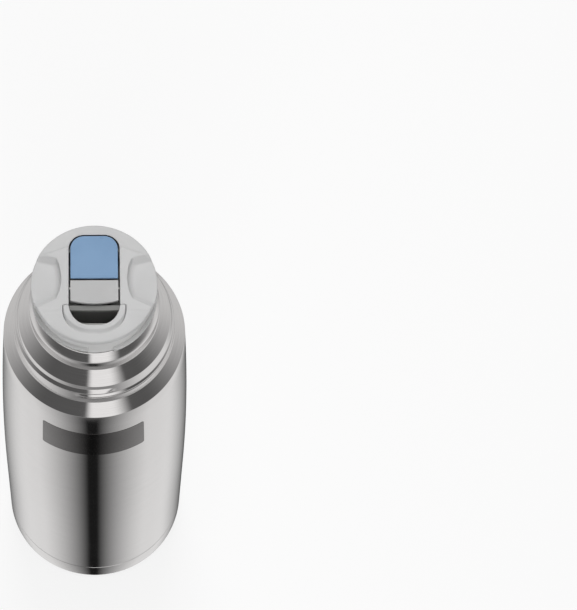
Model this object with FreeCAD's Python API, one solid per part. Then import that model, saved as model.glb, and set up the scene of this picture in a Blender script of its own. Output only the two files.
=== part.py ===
"""A slim steel vacuum flask with a one-push pour stopper, one solid per piece.

Millimetres, +Z up, the flask stands on z = 0 with its axis on Z, and the spout points to -Y.
"""
import math
import os

import FreeCAD
import Part

# Flask: outer wall and base
body_radius = 42.5
body_height = 229.8
body_swell = 3.9
shell_wall = 0.6
taper_start_z = 76.0
base_seam_z = 18.0
base_corner_radius = 5.5
base_foot_width = 6.0
base_recess_depth = 2.0
seam_lap = 4.0
seam_groove = 0.25
evacuation_hole_radius = 2.0
vacuum_seal_flange = 3.0
vacuum_seal_height = 1.0

# Flask: stepped neck, each step wider than the one above it by its flare
neck_bore_radius = 22.0
mouth_width = 3.0
mouth_cone_flare = 2.0
mouth_cone_height = 5.4
neck_wall_height = 7.2
neck_cone_flare = 5.0
neck_cone_height = 6.6
cup_wall_flare = 2.0
cup_wall_height = 14.0
shoulder_cone_height = 5.6
edge_rounding = 0.6

# Rolled bead on the cup wall, one turn with overlapping ends
cup_bead_radius = 1.1
cup_bead_offset = 0.6
cup_bead_lead = 4.0
cup_bead_turns = 1.08
cup_bead_lift = 5.2

# Liner behind the vacuum
vacuum_gap = 3.0
liner_wall = 0.5
liner_bottom_gap = 5.2
liner_corner = 10.0
liner_shoulder_drop = 9.0
liner_neck_length = 27.6
getter_radius = 6.0
getter_height = 1.5

# Stopper thread: the same helix in the neck and on the plug, half a space apart
thread_lead = 12.0
thread_starts = 3
thread_span_deg = 60.0
thread_depth = 1.1
thread_width = 1.5
thread_clearance = 0.4
neck_thread_drop = 5.5

# Gasket between the mouth and the stopper
gasket_height = 1.5
gasket_inset = 0.3
gasket_width = 1.1
gasket_side_clearance = 0.4
seat_gap = 0.05

# Stopper: plug, collar and head
plug_depth = 24.2
plug_wall = 1.9
plug_floor = 2.0
port_ledge = 5.6
collar_gap = 0.3
collar_inset = 0.6
flange_width = 0.6
collar_height = 9.4
collar_ridge_height = 1.0
collar_ridge_width = 2.4
collar_ridge_lead = 9.0
collar_ridge_span_deg = 100.0
collar_ridge_lift = 2.4
rim_overhang = 0.8
head_neck_height = 2.4
rim_height = 3.4
rim_rounding = 2.0

# Channel in the head for button, tab and spout; y runs from the spout (-) to the back (+)
channel_half_width = 10.35
channel_front_inset = 0.65
channel_front_radius = 6.5
channel_back_rim = 4.7
channel_back_radius = 5.5

# Grip scoops at the two sides of the head
scoop_reach = 12.4
scoop_edge_radius = 20.1
scoop_center_y = 2.0
scoop_depth = 2.7
scoop_wall_slope = 1.4
scoop_floor_half_length = 5.9
scoop_steep_run = 2.0
scoop_soft_run = 3.1
scoop_soft_depth = 0.8
scoop_rounding = 1.3

# Spout: dark duct and the lip round its mouth
duct_depth = 8.25
duct_wall = 0.8
duct_back_wall = 1.3
duct_bar_width = 2.0
duct_bar_drop = 1.2
duct_side_gap = 0.1
duct_top_drop = 2.4
lip_side_width = 2.25
lip_front_width = 4.3
lip_depth = 3.2
lip_rise = 0.4
lip_gap = 0.1
lip_rounding = 0.5

# Partition in the plug with the stem's guide and seal
guide_bottom_drop = 9.2
guide_thickness = 4.0
seal_ring_radius = 0.8
seal_gap = 0.1
gland_depth = 1.8

# Valve and button
stem_radius = 2.5
stem_running_clearance = 0.05
stem_tail = 5.5
valve_seal_land = 0.6
valve_seal_width = 2.0
valve_seal_height = 1.35
valve_plate_margin = 0.4
valve_plate_thickness = 2.0
clip_width = 2.0
clip_thickness = 1.0
button_side_gap = 0.5
button_front_y = 1.8
button_front_radius = 0.4
button_thickness = 1.6
button_rounding = 0.45
button_dish_radius = 120.0
button_dish_depth = 0.35
carrier_side_step = 1.35
carrier_front_step = 2.2
carrier_back_gap = 3.1
carrier_disc_gap = 2.2
carrier_disc_thickness = 2.5
carrier_height = 9.3
carrier_rounding = 1.0

# Valve spring
spring_wire_radius = 0.45
spring_inset = 1.5
spring_turns = 4.5
spring_end_gap = 0.05

# Tab on its pin
tab_rear_gap = 0.6
tab_front_gap = 0.4
tab_bow = 1.5
tab_thickness = 1.5
tab_drop = 0.2
tab_lip_rise = 0.5
tab_lip_length = 1.3
tab_pin_setback = 3.0
tab_pin_drop = 3.9
tab_pin_radius = 0.8
tab_pin_clearance = 0.05
tab_pin_grip = 1.25
tab_hub_wall = 0.8
tab_hub_side_gap = 0.35

# Radii that follow from the sizes above
shoulder_radius = body_radius - body_swell
shell_bore_radius = body_radius - shell_wall
liner_radius = shell_bore_radius - vacuum_gap
liner_shoulder_radius = shoulder_radius - shell_wall - vacuum_gap
mouth_radius = neck_bore_radius + mouth_width
neck_wall_radius = mouth_radius + mouth_cone_flare
cup_wall_top_radius = neck_wall_radius + neck_cone_flare
cup_wall_bottom_radius = cup_wall_top_radius + cup_wall_flare
cup_bead_path_radius = cup_wall_top_radius + cup_bead_offset
gasket_inner_radius = neck_bore_radius + gasket_inset
gasket_outer_radius = gasket_inner_radius + gasket_width
plug_radius = neck_bore_radius - thread_depth - thread_clearance
plug_bore_radius = plug_radius - plug_wall
port_radius = plug_bore_radius - port_ledge
collar_radius = mouth_radius - collar_inset
collar_bore_radius = neck_bore_radius + flange_width
head_radius = mouth_radius + rim_overhang
valve_seal_inner_radius = port_radius + valve_seal_land
valve_seal_outer_radius = valve_seal_inner_radius + valve_seal_width
valve_plate_radius = valve_seal_outer_radius + valve_plate_margin

# Heights that follow from the sizes above
cup_wall_z = body_height + shoulder_cone_height
neck_cone_z = cup_wall_z + cup_wall_height
neck_wall_z = neck_cone_z + neck_cone_height
mouth_cone_z = neck_wall_z + neck_wall_height
mouth_z = mouth_cone_z + mouth_cone_height
liner_bottom_z = base_recess_depth + shell_wall + liner_bottom_gap
flange_z = mouth_z + gasket_height + 2 * seat_gap
head_bottom_z = flange_z + collar_height
rim_bottom_z = head_bottom_z + head_neck_height
head_top_z = rim_bottom_z + rim_height
plug_bottom_z = flange_z - plug_depth
guide_bottom_z = flange_z - guide_bottom_drop
guide_top_z = guide_bottom_z + guide_thickness
duct_top_z = head_top_z - duct_top_drop
button_bottom_z = head_top_z - button_thickness
carrier_bottom_z = button_bottom_z - carrier_height
valve_plate_top_z = plug_bottom_z - seat_gap - valve_seal_height
valve_plate_bottom_z = valve_plate_top_z - valve_plate_thickness
tab_pin_z = head_top_z - tab_pin_drop

# Places in the head's plan that follow from the sizes above
channel_front_y = channel_front_inset - plug_bore_radius
channel_back_y = head_radius - channel_back_rim
duct_back_y = channel_front_y + duct_depth
lip_half_width = channel_half_width + lip_side_width
lip_front_y = channel_front_y - lip_front_width
lip_front_radius = channel_front_radius + lip_side_width
button_half_width = channel_half_width - button_side_gap
button_back_y = channel_back_y - button_side_gap
button_back_radius = channel_back_radius - button_side_gap
carrier_half_width = button_half_width - carrier_side_step
carrier_front_y = button_front_y + carrier_front_step
carrier_back_y = plug_bore_radius - carrier_back_gap
carrier_disc_radius = -duct_back_y - carrier_disc_gap
spring_coil_radius = carrier_disc_radius - spring_inset
scoop_edge_x = head_radius - scoop_reach
tab_half_width = button_half_width
tab_rear_y = button_front_y - tab_rear_gap
tab_front_y = duct_back_y + tab_front_gap
tab_pin_y = button_front_y - tab_pin_setback
tab_pin_half_length = channel_half_width + tab_pin_grip
tab_hub_radius = tab_pin_radius + tab_hub_wall
tab_hub_half_length = tab_half_width - tab_hub_side_gap

UP = FreeCAD.Vector(0, 0, 1)
SIDEWAYS = FreeCAD.Vector(1, 0, 0)


def point(radius, z):
    """A point of a turned profile, in the XZ plane."""
    return FreeCAD.Vector(radius, 0, z)


def turn_edges(edges):
    """The solid that a closed profile of edges sweeps round Z."""
    face = Part.Face(Part.Wire(edges))
    return face.revolve(FreeCAD.Vector(0, 0, 0), UP, 360)


def turn_profile(corners):
    """The solid that a closed profile of (radius, z) corners sweeps round Z."""
    corner_points = [point(radius, z) for radius, z in corners]
    outline = Part.makePolygon(corner_points + corner_points[:1])
    return turn_edges(outline.Edges)


def ring(inner_radius, outer_radius, bottom_z, top_z):
    """A plain ring round Z."""
    return turn_profile([
        (inner_radius, bottom_z),
        (outer_radius, bottom_z),
        (outer_radius, top_z),
        (inner_radius, top_z),
    ])


def cylinder_up(radius, bottom_z, top_z, x=0.0, y=0.0):
    """An upright cylinder."""
    return Part.makeCylinder(radius, top_z - bottom_z, FreeCAD.Vector(x, y, bottom_z), UP)


def cylinder_across(radius, half_length, y, z):
    """A cylinder along X, centred on x = 0."""
    return Part.makeCylinder(radius, 2 * half_length, FreeCAD.Vector(-half_length, y, z), SIDEWAYS)


def taper_arc(start_radius, start_z, end_radius, end_z, trim=0.0):
    """An arc that leaves a straight wall smoothly and leans in, ending trim below the end point."""
    inset = start_radius - end_radius
    length = end_z - start_z
    arc_radius = (length ** 2 + inset ** 2) / (2 * inset)
    stop_z = end_z - trim

    def on_arc(z):
        sink = arc_radius - math.sqrt(arc_radius ** 2 - (z - start_z) ** 2)
        return point(start_radius - sink, z)

    return Part.Arc(on_arc(start_z), on_arc((start_z + stop_z) / 2), on_arc(stop_z)).toShape()


def line_chain(corners):
    """Straight edges through (radius, z) corners."""
    return Part.makePolygon([point(radius, z) for radius, z in corners]).Edges


def arc_between(start, corner, end):
    """The arc from start to end that touches both legs of the corner."""
    middle = (start + end) * 0.5
    half_chord = (end - middle).Length
    leg = (corner - start).Length
    to_corner = corner - middle
    sine = to_corner.Length / leg
    cosine = half_chord / leg
    sagitta = half_chord / sine * (1 - cosine)
    return Part.Arc(start, middle + to_corner.normalize() * sagitta, end).toShape()


def rounded_chain(corners, rounding):
    """Straight edges through corner points, with an arc at every corner between the two ends."""
    edges = []
    start = corners[0]
    for before, corner, after in zip(corners, corners[1:], corners[2:]):
        arc_start = corner + (before - corner).normalize() * rounding
        arc_end = corner + (after - corner).normalize() * rounding
        edges.append(Part.makeLine(start, arc_start))
        edges.append(arc_between(arc_start, corner, arc_end))
        start = arc_end
    edges.append(Part.makeLine(start, corners[-1]))
    return edges


def round_edges(solid, rounding, chosen):
    """The solid with every edge rounded for which chosen(edge) is true."""
    edges = [edge for edge in solid.Edges if chosen(edge)]
    return solid.makeFillet(rounding, edges)


def is_upright_at(edge, y):
    """True for a straight upright edge at this y."""
    box = edge.BoundBox
    return box.ZLength > 1e-3 and box.YLength < 1e-6 and box.XLength < 1e-6 and abs(box.YMin - y) < 1e-6


def is_flat_at(edge, z):
    """True for an edge that lies in the plane at this height."""
    box = edge.BoundBox
    return box.ZLength < 1e-6 and abs(box.ZMin - z) < 1e-6


def rounded_block(half_width, front_y, back_y, bottom_z, top_z, front_radius, back_radius):
    """An upright block with rounded corners in plan at the front and at the back."""
    corner = FreeCAD.Vector(-half_width, front_y, bottom_z)
    block = Part.makeBox(2 * half_width, back_y - front_y, top_z - bottom_z, corner)
    if front_radius > 0:
        block = round_edges(block, front_radius, lambda edge: is_upright_at(edge, front_y))
    if back_radius > 0:
        block = round_edges(block, back_radius, lambda edge: is_upright_at(edge, back_y))
    return block


def helical_ridge(root_radius, crest_radius, width, lead, span_deg, start_deg, start_z):
    """A thread ridge along part of a right-hand helix, its root sunk a little into the wall."""
    root_depth = math.copysign(0.3, root_radius - crest_radius)
    sunk_radius = root_radius + root_depth
    corners = [
        point(sunk_radius, -width / 2),
        point(crest_radius, -width / 4),
        point(crest_radius, width / 4),
        point(sunk_radius, width / 2),
    ]
    section = Part.Wire(Part.makePolygon(corners + corners[:1]).Edges)
    helix = Part.Wire(Part.makeHelix(lead, lead * span_deg / 360, root_radius).Edges)
    ridge = helix.makePipeShell([section], True, True)
    ridge.rotate(FreeCAD.Vector(0, 0, 0), UP, start_deg)
    ridge.translate(FreeCAD.Vector(0, 0, start_z))
    return ridge


def thread_ridges(root_radius, crest_radius, start_z):
    """The short stopper threads, evenly spaced round Z."""
    step = 360 / thread_starts
    return [
        helical_ridge(
            root_radius,
            crest_radius,
            thread_width,
            thread_lead,
            thread_span_deg,
            step * start,
            start_z,
        )
        for start in range(thread_starts)
    ]


def outer_shell():
    """Steel outer wall with the stepped neck, open below at the seam."""
    steps = [
        (shoulder_radius, body_height),
        (cup_wall_bottom_radius, cup_wall_z),
        (cup_wall_top_radius, neck_cone_z),
        (neck_wall_radius, neck_wall_z),
        (neck_wall_radius, mouth_cone_z),
        (mouth_radius, mouth_z),
    ]
    outside = line_chain([
        (body_radius - seam_groove, base_seam_z),
        (body_radius, base_seam_z + seam_groove),
        (body_radius, taper_start_z),
    ])
    taper = taper_arc(body_radius, taper_start_z, shoulder_radius, body_height, 2 * edge_rounding)
    outside.append(taper)
    step_points = [point(radius, z) for radius, z in steps]
    outside += rounded_chain([taper.lastVertex().Point] + step_points, edge_rounding)
    inner_steps = [(radius - shell_wall, z) for radius, z in steps]
    inside = line_chain([(shell_bore_radius, base_seam_z), (shell_bore_radius, taper_start_z)])
    inside.append(taper_arc(shell_bore_radius, taper_start_z, shoulder_radius - shell_wall, body_height))
    inside += line_chain(inner_steps)
    mouth = line_chain([steps[-1], inner_steps[-1]])
    foot = line_chain([(shell_bore_radius, base_seam_z), (body_radius - seam_groove, base_seam_z)])
    shell = turn_edges(Part.__sortEdges__(outside + mouth + inside + foot))
    return shell.fuse(cup_bead())


def cup_bead():
    """The rolled bead that a screw-on cup runs on."""
    height = cup_bead_lead * cup_bead_turns
    helix = Part.Wire(Part.makeHelix(cup_bead_lead, height, cup_bead_path_radius).Edges)
    start = FreeCAD.Vector(cup_bead_path_radius, 0, 0)
    along = FreeCAD.Vector(0, 2 * math.pi * cup_bead_path_radius, cup_bead_lead)
    section = Part.Wire(Part.makeCircle(cup_bead_radius, start, along))
    bead = helix.makePipeShell([section], True, True)
    overlap_deg = 360 * (cup_bead_turns - 1)
    bead.rotate(FreeCAD.Vector(0, 0, 0), UP, -90 - overlap_deg / 2)
    bead.translate(FreeCAD.Vector(0, 0, cup_wall_z + cup_bead_lift))
    return bead


def base_cap():
    """Steel bottom cup with a standing ring, lapped into the outer wall."""
    foot_outer = body_radius - base_corner_radius
    foot_inner = foot_outer - base_foot_width
    lap_inner = shell_bore_radius - shell_wall
    floor_z = base_recess_depth + shell_wall
    inner_foot_z = 2 * shell_wall
    underside = line_chain([
        (evacuation_hole_radius, base_recess_depth),
        (foot_inner - base_recess_depth, base_recess_depth),
        (foot_inner, 0),
        (foot_outer, 0),
    ])
    corner_end = point(body_radius, base_corner_radius)
    corner = arc_between(point(foot_outer, 0), point(body_radius, 0), corner_end)
    wall = line_chain([
        (body_radius, base_corner_radius),
        (body_radius, base_seam_z - seam_groove),
        (body_radius - seam_groove, base_seam_z),
        (shell_bore_radius, base_seam_z),
        (shell_bore_radius, base_seam_z + seam_lap),
        (lap_inner, base_seam_z + seam_lap),
        (lap_inner, base_corner_radius + shell_wall),
    ])
    inner_start = point(lap_inner, base_corner_radius + shell_wall)
    inner_end = point(foot_outer - shell_wall, inner_foot_z)
    inner_corner = arc_between(inner_start, point(lap_inner, inner_foot_z), inner_end)
    floor = line_chain([
        (foot_outer - shell_wall, inner_foot_z),
        (foot_inner + shell_wall, inner_foot_z),
        (foot_inner - base_recess_depth + shell_wall, floor_z),
        (evacuation_hole_radius, floor_z),
        (evacuation_hole_radius, base_recess_depth),
    ])
    return turn_edges(underside + [corner] + wall + [inner_corner] + floor)


def vacuum_seal():
    """Plug in the evacuation hole, with a flat head in the base's recess."""
    flange_radius = evacuation_hole_radius + vacuum_seal_flange
    head = cylinder_up(flange_radius, base_recess_depth - vacuum_seal_height, base_recess_depth)
    stub = cylinder_up(evacuation_hole_radius, base_recess_depth, base_recess_depth + shell_wall)
    return head.fuse(stub).removeSplitter()


def inner_vessel():
    """Steel liner: closed bottom, leaning wall, neck bore with threads, lip out to the shell."""
    bottom_z = liner_bottom_z
    corner = liner_corner
    shoulder_z = body_height - liner_shoulder_drop
    neck_z = mouth_z - liner_neck_length
    lip_radius = mouth_radius - shell_wall
    neck_outer = neck_bore_radius + liner_wall
    bore = liner_radius - liner_wall
    shoulder_bore = liner_shoulder_radius - liner_wall
    outside = line_chain([
        (0, bottom_z),
        (liner_radius - corner, bottom_z),
        (liner_radius, bottom_z + corner),
        (liner_radius, taper_start_z),
    ])
    outside.append(taper_arc(liner_radius, taper_start_z, liner_shoulder_radius, shoulder_z))
    outside += line_chain([
        (liner_shoulder_radius, shoulder_z),
        (neck_outer, neck_z),
        (neck_outer, mouth_z - liner_wall),
        (lip_radius, mouth_z - liner_wall),
        (lip_radius, mouth_z),
        (neck_bore_radius, mouth_z),
        (neck_bore_radius, neck_z),
        (shoulder_bore, shoulder_z),
    ])
    inside = [taper_arc(bore, taper_start_z, shoulder_bore, shoulder_z)]
    inside += line_chain([
        (bore, taper_start_z),
        (bore, bottom_z + corner),
        (bore - corner, bottom_z + liner_wall),
        (0, bottom_z + liner_wall),
        (0, bottom_z),
    ])
    liner = turn_edges(Part.__sortEdges__(outside + inside))
    crest_radius = neck_bore_radius - thread_depth
    return liner.fuse(thread_ridges(neck_bore_radius, crest_radius, mouth_z - neck_thread_drop))


def getter():
    """Capsule under the liner's bottom, in the vacuum."""
    return cylinder_up(getter_radius, liner_bottom_z - getter_height, liner_bottom_z)


def neck_gasket():
    """Flat ring between the mouth and the stopper's flange."""
    bottom_z = mouth_z + seat_gap
    return ring(gasket_inner_radius, gasket_outer_radius, bottom_z, bottom_z + gasket_height)


def stopper_core():
    """Hollow plug with the threads outside and the valve port in its floor."""
    plug = turn_profile([
        (port_radius, plug_bottom_z),
        (plug_radius, plug_bottom_z),
        (plug_radius, flange_z),
        (collar_bore_radius, flange_z),
        (collar_bore_radius, head_bottom_z),
        (plug_bore_radius, head_bottom_z),
        (plug_bore_radius, plug_bottom_z + plug_floor),
        (port_radius, plug_bottom_z + plug_floor),
    ])
    half_space = thread_lead / thread_starts / 2
    start_z = mouth_z - neck_thread_drop - half_space
    return plug.fuse(thread_ridges(plug_radius, plug_radius + thread_depth, start_z))


def thread_collar():
    """Skirt under the head with interrupted threads, and a rebate over the gasket."""
    rebate_radius = gasket_outer_radius + gasket_side_clearance
    bottom_z = mouth_z + collar_gap
    skirt = turn_profile([
        (rebate_radius, bottom_z),
        (collar_radius, bottom_z),
        (collar_radius, head_bottom_z),
        (collar_bore_radius, head_bottom_z),
        (collar_bore_radius, flange_z),
        (rebate_radius, flange_z),
    ])
    gap_deg = 360 / thread_starts - collar_ridge_span_deg
    first_deg = -90 + gap_deg / 2
    ridges = [
        helical_ridge(
            collar_radius,
            collar_radius + collar_ridge_height,
            collar_ridge_width,
            collar_ridge_lead,
            collar_ridge_span_deg,
            first_deg + 360 / thread_starts * start,
            bottom_z + collar_ridge_lift,
        )
        for start in range(thread_starts)
    ]
    return skirt.fuse(ridges)


def grip_scoop():
    """The hollow that is cut from the head's right side for gripping."""
    floor_z = head_top_z - scoop_depth
    top_z = head_top_z + 1.0
    reach = scoop_edge_x + scoop_edge_radius
    height = top_z - floor_z
    widening = scoop_wall_slope * height / scoop_depth
    floor_radius = scoop_edge_radius - scoop_wall_slope
    base = FreeCAD.Vector(reach, scoop_center_y, floor_z)
    bowl = Part.makeCone(floor_radius, floor_radius + widening, height, base, UP)
    bowl = round_edges(bowl, scoop_rounding, lambda edge: is_flat_at(edge, floor_z))
    soft_z = head_top_z - scoop_soft_depth
    soft_start = scoop_floor_half_length + scoop_steep_run
    soft_end = soft_start + scoop_soft_run * (top_z - soft_z) / scoop_soft_depth
    half_section = [
        (scoop_floor_half_length, floor_z),
        (soft_start, soft_z),
        (soft_end, top_z),
    ]
    section = half_section + [(-half, z) for half, z in reversed(half_section)]
    corners = [FreeCAD.Vector(scoop_edge_x / 2, scoop_center_y + half, z) for half, z in section]
    face = Part.Face(Part.makePolygon(corners + corners[:1]))
    trough = face.extrude(FreeCAD.Vector(2 * head_radius, 0, 0))

    def is_trough_floor_edge(edge):
        return is_flat_at(edge, floor_z) and edge.BoundBox.XLength > head_radius

    trough = round_edges(trough, scoop_rounding, is_trough_floor_edge)
    return bowl.common(trough)


def stopper_head():
    """Top moulding: round rim, grip scoops, channel, lip seat and pin holes."""
    head = turn_profile([
        (0, head_bottom_z),
        (collar_radius, head_bottom_z),
        (collar_radius, rim_bottom_z - (head_radius - collar_radius) / 2),
        (head_radius, rim_bottom_z),
        (head_radius, head_top_z),
        (0, head_top_z),
    ])
    head = round_edges(head, rim_rounding, lambda edge: is_flat_at(edge, head_top_z))
    right_scoop = grip_scoop()
    left_scoop = right_scoop.mirror(FreeCAD.Vector(0, 0, 0), SIDEWAYS)
    channel = rounded_block(
        channel_half_width,
        channel_front_y,
        channel_back_y,
        head_bottom_z - 1,
        head_top_z + 1,
        channel_front_radius,
        channel_back_radius,
    )
    lip_seat = rounded_block(
        lip_half_width + lip_gap,
        lip_front_y - lip_gap,
        duct_back_y,
        head_top_z - lip_depth,
        head_top_z + 1,
        lip_front_radius + lip_gap,
        0,
    )
    pin_hole = cylinder_across(tab_pin_radius, tab_pin_half_length, tab_pin_y, tab_pin_z)
    return head.cut([right_scoop, left_scoop, channel, lip_seat, pin_hole])


def spout_liner():
    """Dark pouring duct from the partition up into the head, with a bar across its back."""
    half_width = channel_half_width - duct_side_gap
    front_y = channel_front_y + duct_side_gap
    front_radius = channel_front_radius - duct_side_gap
    outer = rounded_block(half_width, front_y, duct_back_y, guide_top_z, duct_top_z, front_radius, 0)
    duct = outer.cut(duct_passage(guide_top_z - 1, duct_top_z + 1))
    bar_corner = FreeCAD.Vector(-half_width, duct_back_y - duct_bar_width, duct_top_z)
    bar_height = head_top_z - duct_bar_drop - duct_top_z
    bar = Part.makeBox(2 * half_width, duct_bar_width, bar_height, bar_corner)
    return duct.fuse(bar).removeSplitter()


def duct_passage(bottom_z, top_z):
    """The space inside the pouring duct between two heights."""
    return rounded_block(
        channel_half_width - duct_side_gap - duct_wall,
        channel_front_y + duct_side_gap + duct_wall,
        duct_back_y - duct_back_wall,
        bottom_z,
        top_z,
        channel_front_radius - duct_side_gap - duct_wall,
        0,
    )


def spout_lip():
    """U-shaped pouring lip in the head's seat."""
    top_z = head_top_z + lip_rise
    bottom_z = head_top_z - lip_depth
    back_y = duct_back_y - lip_gap
    outer = rounded_block(lip_half_width, lip_front_y, back_y, bottom_z, top_z, lip_front_radius, 0)
    mouth = rounded_block(
        channel_half_width, channel_front_y, back_y + 1, bottom_z - 1, top_z + 1, channel_front_radius, 0
    )
    lip = outer.cut(mouth)
    return round_edges(lip, lip_rounding, lambda edge: is_flat_at(edge, top_z))


def stem_guide():
    """Partition with the stem's bore, the seal's gland and the duct's passage."""
    disc = cylinder_up(plug_bore_radius, guide_bottom_z, guide_top_z)
    bore = cylinder_up(stem_radius + stem_running_clearance, guide_bottom_z - 1, guide_top_z + 1)
    gland = cylinder_up(gland_radius(), guide_top_z - gland_depth, guide_top_z + 1)
    return disc.cut([bore, gland, duct_passage(guide_bottom_z - 1, guide_top_z + 1)])


def gland_radius():
    """Radius of the recess that holds the stem's O-ring."""
    return stem_radius + 2 * seal_gap + 2 * seal_ring_radius


def stem_seal():
    """O-ring round the stem."""
    center_z = guide_top_z - gland_depth + seal_ring_radius
    middle_radius = stem_radius + seal_gap + seal_ring_radius
    return Part.makeTorus(middle_radius, seal_ring_radius, FreeCAD.Vector(0, 0, center_z), UP)


def tab_pin():
    """Hinge pin of the tab, held in the head's two channel walls."""
    return cylinder_across(tab_pin_radius, tab_pin_half_length, tab_pin_y, tab_pin_z)


def release_tab():
    """Grey tab with a bowed, raised front lip and a hub on the pin."""
    top_z = head_top_z - tab_drop
    bottom_z = top_z - tab_thickness
    section = [
        (tab_rear_y, bottom_z),
        (tab_rear_y, top_z),
        (tab_front_y + tab_lip_length, top_z),
        (tab_front_y, top_z + tab_lip_rise),
        (tab_front_y, bottom_z + tab_lip_rise),
        (tab_front_y + tab_lip_length, bottom_z),
    ]
    corners = [FreeCAD.Vector(-tab_half_width, y, z) for y, z in section]
    face = Part.Face(Part.makePolygon(corners + corners[:1]))
    plate = face.extrude(FreeCAD.Vector(2 * tab_half_width, 0, 0))
    bow_radius = (tab_half_width ** 2 + tab_bow ** 2) / (2 * tab_bow)
    plate = plate.common(cylinder_up(bow_radius, bottom_z - 1, top_z + 1, 0, tab_front_y + bow_radius))
    hub = cylinder_across(tab_hub_radius, tab_hub_half_length, tab_pin_y, tab_pin_z)
    web_corner = FreeCAD.Vector(-tab_hub_half_length, tab_pin_y - tab_hub_radius, tab_pin_z)
    web = Part.makeBox(2 * tab_hub_half_length, 2 * tab_hub_radius, bottom_z - tab_pin_z, web_corner)
    bore = cylinder_across(tab_pin_radius + tab_pin_clearance, tab_half_width + 1, tab_pin_y, tab_pin_z)
    return plate.fuse([hub, web]).removeSplitter().cut(bore)


def push_button():
    """Blue cap with rounded back corners and a shallow dish on top."""
    cap = rounded_block(
        button_half_width,
        button_front_y,
        button_back_y,
        button_bottom_z,
        head_top_z,
        button_front_radius,
        button_back_radius,
    )
    cap = round_edges(cap, button_rounding, lambda edge: is_flat_at(edge, head_top_z))
    dish_y = (button_front_y + button_back_y) / 2
    dish_z = head_top_z - button_dish_depth + button_dish_radius
    return cap.cut(Part.makeSphere(button_dish_radius, FreeCAD.Vector(0, dish_y, dish_z)))


def button_carrier():
    """Block under the cap with a round foot that holds the stem and meets the spring."""
    block = rounded_block(
        carrier_half_width,
        carrier_front_y,
        carrier_back_y,
        carrier_bottom_z,
        button_bottom_z,
        carrier_rounding,
        carrier_rounding,
    )
    foot_top_z = carrier_bottom_z + carrier_disc_thickness
    foot = cylinder_up(carrier_disc_radius, carrier_bottom_z, foot_top_z)
    socket = cylinder_up(stem_radius, carrier_bottom_z, foot_top_z)
    return block.fuse(foot).removeSplitter().cut(socket)


def valve_stem():
    """Rod from the carrier down through guide and valve plate."""
    return cylinder_up(stem_radius, plug_bottom_z - stem_tail, carrier_bottom_z + carrier_disc_thickness)


def valve_plate():
    """Disc under the plug's port."""
    return ring(stem_radius, valve_plate_radius, valve_plate_bottom_z, valve_plate_top_z)


def valve_seal():
    """Ring on the valve plate that meets the rim of the port."""
    top_z = valve_plate_top_z + valve_seal_height
    return ring(valve_seal_inner_radius, valve_seal_outer_radius, valve_plate_top_z, top_z)


def stem_clip():
    """Ring that holds the valve plate on the stem."""
    bottom_z = valve_plate_bottom_z - clip_thickness
    return ring(stem_radius, stem_radius + clip_width, bottom_z, valve_plate_bottom_z)


def spring_point(angle, bottom_z, rise_per_radian):
    """A point of the spring's middle line, and its direction there."""
    place = FreeCAD.Vector(
        spring_coil_radius * math.cos(angle),
        spring_coil_radius * math.sin(angle),
        bottom_z + rise_per_radian * angle,
    )
    heading = FreeCAD.Vector(
        -spring_coil_radius * math.sin(angle), spring_coil_radius * math.cos(angle), rise_per_radian
    )
    return place, heading.normalize()


def biarc(start, start_heading, end, end_heading):
    """Two arcs that join two points and leave each along its heading."""
    chord = end - start
    spread = 2 * (1 - start_heading.dot(end_heading))
    lean = chord.dot(start_heading + end_heading)
    leg = (-lean + math.sqrt(lean ** 2 + spread * chord.dot(chord))) / spread
    first_corner = start + start_heading * leg
    second_corner = end - end_heading * leg
    joint = (first_corner + second_corner) * 0.5
    return [arc_between(start, first_corner, joint), arc_between(joint, second_corner, end)]


def valve_spring():
    """Coil spring from the partition up to the carrier's foot, one unbroken tube."""
    bottom_z = guide_top_z + spring_end_gap + spring_wire_radius
    top_z = carrier_bottom_z - spring_end_gap - spring_wire_radius
    rise_per_radian = (top_z - bottom_z) / (2 * math.pi * spring_turns)
    stations = [
        spring_point(quarter * math.pi / 2, bottom_z, rise_per_radian)
        for quarter in range(round(4 * spring_turns) + 1)
    ]
    edges = []
    for (start, start_heading), (end, end_heading) in zip(stations[:-1], stations[1:]):
        edges += biarc(start, start_heading, end, end_heading)
    path = Part.Wire(edges)
    first_place, first_heading = stations[0]
    section = Part.Wire(Part.makeCircle(spring_wire_radius, first_place, first_heading))
    print("spring: least gap between turns %.2f mm" % spring_self_gap(bottom_z, rise_per_radian))
    return path.makePipeShell([section], True, False)


def spring_self_gap(bottom_z, rise_per_radian):
    """Least gap between the spring's turns, measured on points of its middle line."""
    steps_per_turn = 48
    count = round(steps_per_turn * spring_turns)
    places = [
        spring_point(2 * math.pi * step / steps_per_turn, bottom_z, rise_per_radian)[0]
        for step in range(count)
    ]
    far_apart = steps_per_turn // 2
    gaps = [
        places[second].distanceToPoint(places[first])
        for first in range(count)
        for second in range(first + far_apart, count)
    ]
    return min(gaps) - 2 * spring_wire_radius


pieces = {
    "outer_shell": outer_shell(),
    "base_cap": base_cap(),
    "inner_vessel": inner_vessel(),
    "getter": getter(),
    "vacuum_seal": vacuum_seal(),
    "neck_gasket": neck_gasket(),
    "stopper_head": stopper_head(),
    "thread_collar": thread_collar(),
    "stopper_core": stopper_core(),
    "stem_guide": stem_guide(),
    "stem_seal": stem_seal(),
    "spout_liner": spout_liner(),
    "spout_lip": spout_lip(),
    "tab_pin": tab_pin(),
    "push_button": push_button(),
    "button_carrier": button_carrier(),
    "valve_stem": valve_stem(),
    "valve_plate": valve_plate(),
    "valve_seal": valve_seal(),
    "stem_clip": stem_clip(),
    "release_tab": release_tab(),
    "valve_spring": valve_spring(),
}

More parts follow.
